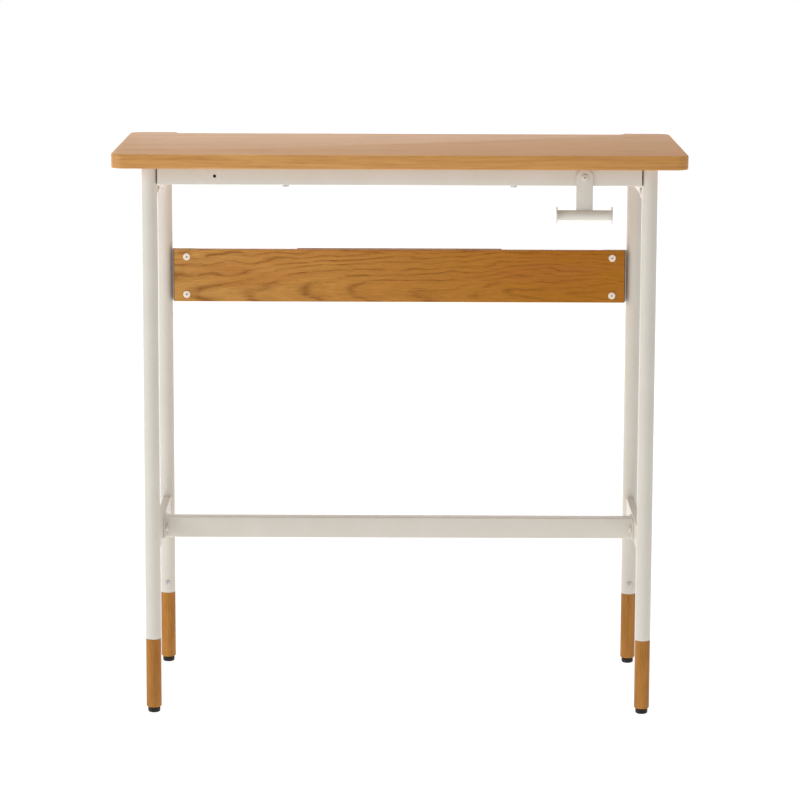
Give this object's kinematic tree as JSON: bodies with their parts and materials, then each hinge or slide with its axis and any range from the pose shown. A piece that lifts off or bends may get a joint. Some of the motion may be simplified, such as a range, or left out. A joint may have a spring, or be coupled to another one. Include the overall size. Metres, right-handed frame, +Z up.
{
  "type": "standing table",
  "caption": "Tall fixed-top desk: oak top and back panel on round steel legs with oak tips, levelling feet, a crossbar, a bag hook and a cable tray.",
  "frame": {"origin": "on the floor, under the middle of the top", "axes": "+Z up; the front, with the hook, faces -Y; +X to the right of someone standing in front"},
  "size_m": [1, 0.45, 1],
  "materials": {
    "oak_veneer": "satin clear lacquer on light oak veneer, grain along X",
    "oak_panel": "satin clear lacquer on golden oak with cathedral grain along X",
    "oak_solid": "satin clear lacquer on turned oak, grain along Z",
    "ivory_steel": "smooth satin powder coat, warm ivory white",
    "ivory_fastener": "satin ivory coating on steel screws and bolts",
    "zinc_steel": "bright zinc plate",
    "black_plastic": "fine matt moulded plastic"
  },
  "bodies": {
    "table": {"tabletop": "oak_veneer", "leg_front_left": "ivory_steel", "leg_front_right": "ivory_steel", "leg_rear_left": "ivory_steel", "leg_rear_right": "ivory_steel", "leg_tip_front_left": "oak_solid", "leg_tip_front_right": "oak_solid", "leg_tip_rear_left": "oak_solid", "leg_tip_rear_right": "oak_solid", "tip_screw_front_left": "zinc_steel", "tip_screw_front_right": "zinc_steel", "tip_screw_rear_left": "zinc_steel", "tip_screw_rear_right": "zinc_steel", "insert_nut_front_left": "zinc_steel", "insert_nut_front_right": "zinc_steel", "insert_nut_rear_left": "zinc_steel", "insert_nut_rear_right": "zinc_steel", "top_side_rail_left": "ivory_steel", "top_side_rail_right": "ivory_steel", "lower_side_rail_left": "ivory_steel", "lower_side_rail_right": "ivory_steel", "front_rail": "ivory_steel", "rear_rail": "ivory_steel", "corner_bracket_front_left": "ivory_steel", "corner_bracket_front_right": "ivory_steel", "corner_bracket_rear_left": "ivory_steel", "corner_bracket_rear_right": "ivory_steel", "rail_bolt_front_left": "ivory_fastener", "rail_bolt_front_right": "ivory_fastener", "rail_bolt_rear_left": "ivory_fastener", "rail_bolt_rear_right": "ivory_fastener", "top_screw_front_left": "zinc_steel", "top_screw_front_right": "zinc_steel", "top_screw_rear_left": "zinc_steel", "top_screw_rear_right": "zinc_steel", "crossbar": "ivory_steel", "crossbar_bolt_front_left": "ivory_fastener", "crossbar_bolt_front_right": "ivory_fastener", "crossbar_bolt_rear_left": "ivory_fastener", "crossbar_bolt_rear_right": "ivory_fastener", "back_panel": "oak_panel", "panel_plate_left": "ivory_steel", "panel_plate_right": "ivory_steel", "panel_screw_upper_left": "ivory_fastener", "panel_screw_upper_right": "ivory_fastener", "panel_screw_lower_left": "ivory_fastener", "panel_screw_lower_right": "ivory_fastener", "cable_tray": "ivory_steel", "tray_screw_left": "zinc_steel", "tray_screw_right": "zinc_steel", "hook_strap": "ivory_steel", "hook_bar": "ivory_steel", "hook_disc_left": "ivory_steel", "hook_disc_right": "ivory_steel", "hook_screw": "ivory_fastener"},
    "foot_front_left": {"levelling_foot_front_left": "black_plastic"},
    "foot_front_right": {"levelling_foot_front_right": "black_plastic"},
    "foot_rear_left": {"levelling_foot_rear_left": "black_plastic"},
    "foot_rear_right": {"levelling_foot_rear_right": "black_plastic"}
  },
  "joints": [
    {"name": "foot_front_left_level", "type": "slide", "parent": "table", "child": "foot_front_left", "axis": [0, 0, -1], "range_m": [0, 0.01]},
    {"name": "foot_front_right_level", "type": "slide", "parent": "table", "child": "foot_front_right", "axis": [0, 0, -1], "range_m": [0, 0.01]},
    {"name": "foot_rear_left_level", "type": "slide", "parent": "table", "child": "foot_rear_left", "axis": [0, 0, -1], "range_m": [0, 0.01]},
    {"name": "foot_rear_right_level", "type": "slide", "parent": "table", "child": "foot_rear_right", "axis": [0, 0, -1], "range_m": [0, 0.01]}
  ]
}
